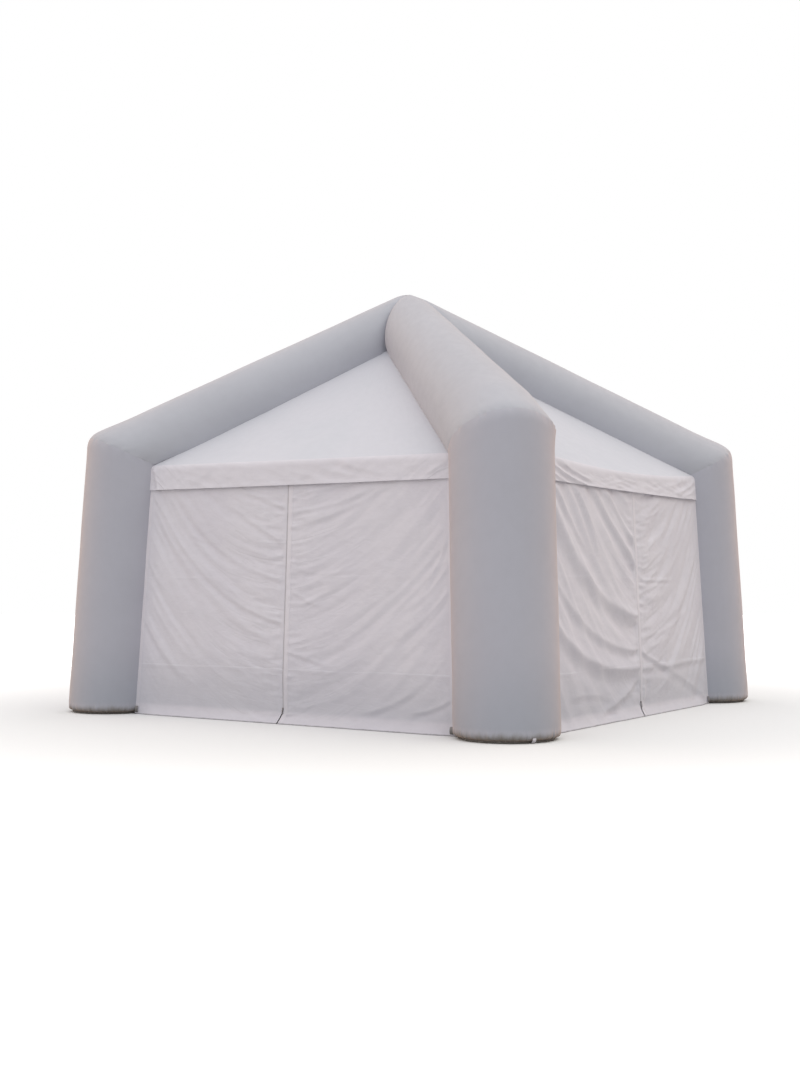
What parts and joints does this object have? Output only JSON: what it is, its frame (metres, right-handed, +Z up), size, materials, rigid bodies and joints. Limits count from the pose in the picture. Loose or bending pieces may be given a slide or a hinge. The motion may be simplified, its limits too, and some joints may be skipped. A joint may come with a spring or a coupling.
{
  "type": "inflatable marquee tent",
  "caption": "Square inflatable marquee tent with fat tube legs and rafters meeting at a peak, taut roof panels with a valance, and closed zipped cloth walls.",
  "frame": {"origin": "on the ground, under the middle of the square that the legs stand on", "axes": "+Z up; -Y is the front wall's way out, +X is the way out of the right wall, seen by someone who faces the front"},
  "size_m": [5.9748, 5.9749, 4.8627],
  "materials": {
    "leg_cloth": "coated polyester cloth of the inflated legs, light grey, smooth, soft satin",
    "rafter_cloth": "coated polyester cloth of the inflated rafters, light grey, smooth, soft satin",
    "foot_cloth": "coated cloth of the closed leg ends, gathered and dirty along the ground",
    "roof_cloth": "taut coated polyester roof cloth, bluish white, matt",
    "valance_cloth": "thin white polyester cloth, faintly pink, softly creased, matt",
    "wall_cloth": "thin white polyester wall cloth, faintly pink, creased and swagged, matt",
    "zip_tape": "woven zip tape with a coil zip, grey",
    "zip_flap_cloth": "folded strip of the white wall cloth over the zip, matt",
    "strap_webbing": "flat woven webbing loop, off-white, dirty"
  },
  "bodies": {
    "root": {"foot_front_left": "foot_cloth", "leg_front_left": "leg_cloth", "rafter_front_left": "rafter_cloth", "foot_front_right": "foot_cloth", "leg_front_right": "leg_cloth", "rafter_front_right": "rafter_cloth", "foot_back_right": "foot_cloth", "leg_back_right": "leg_cloth", "rafter_back_right": "rafter_cloth", "foot_back_left": "foot_cloth", "leg_back_left": "leg_cloth", "rafter_back_left": "rafter_cloth", "roof_front": "roof_cloth", "valance_front": "valance_cloth", "wall_front_left_half": "wall_cloth", "wall_front_right_half": "wall_cloth", "zip_front": "zip_tape", "zip_flap_front": "zip_flap_cloth", "tie_strap_front_left": "strap_webbing", "tie_strap_front_right": "strap_webbing", "roof_right": "roof_cloth", "valance_right": "valance_cloth", "wall_right_left_half": "wall_cloth", "wall_right_right_half": "wall_cloth", "zip_right": "zip_tape", "zip_flap_right": "zip_flap_cloth", "tie_strap_right_left": "strap_webbing", "tie_strap_right_right": "strap_webbing", "roof_back": "roof_cloth", "valance_back": "valance_cloth", "wall_back_left_half": "wall_cloth", "wall_back_right_half": "wall_cloth", "zip_back": "zip_tape", "zip_flap_back": "zip_flap_cloth", "tie_strap_back_left": "strap_webbing", "tie_strap_back_right": "strap_webbing", "roof_left": "roof_cloth", "valance_left": "valance_cloth", "wall_left_left_half": "wall_cloth", "wall_left_right_half": "wall_cloth", "zip_left": "zip_tape", "zip_flap_left": "zip_flap_cloth", "tie_strap_left_left": "strap_webbing", "tie_strap_left_right": "strap_webbing"}
  },
  "joints": []
}
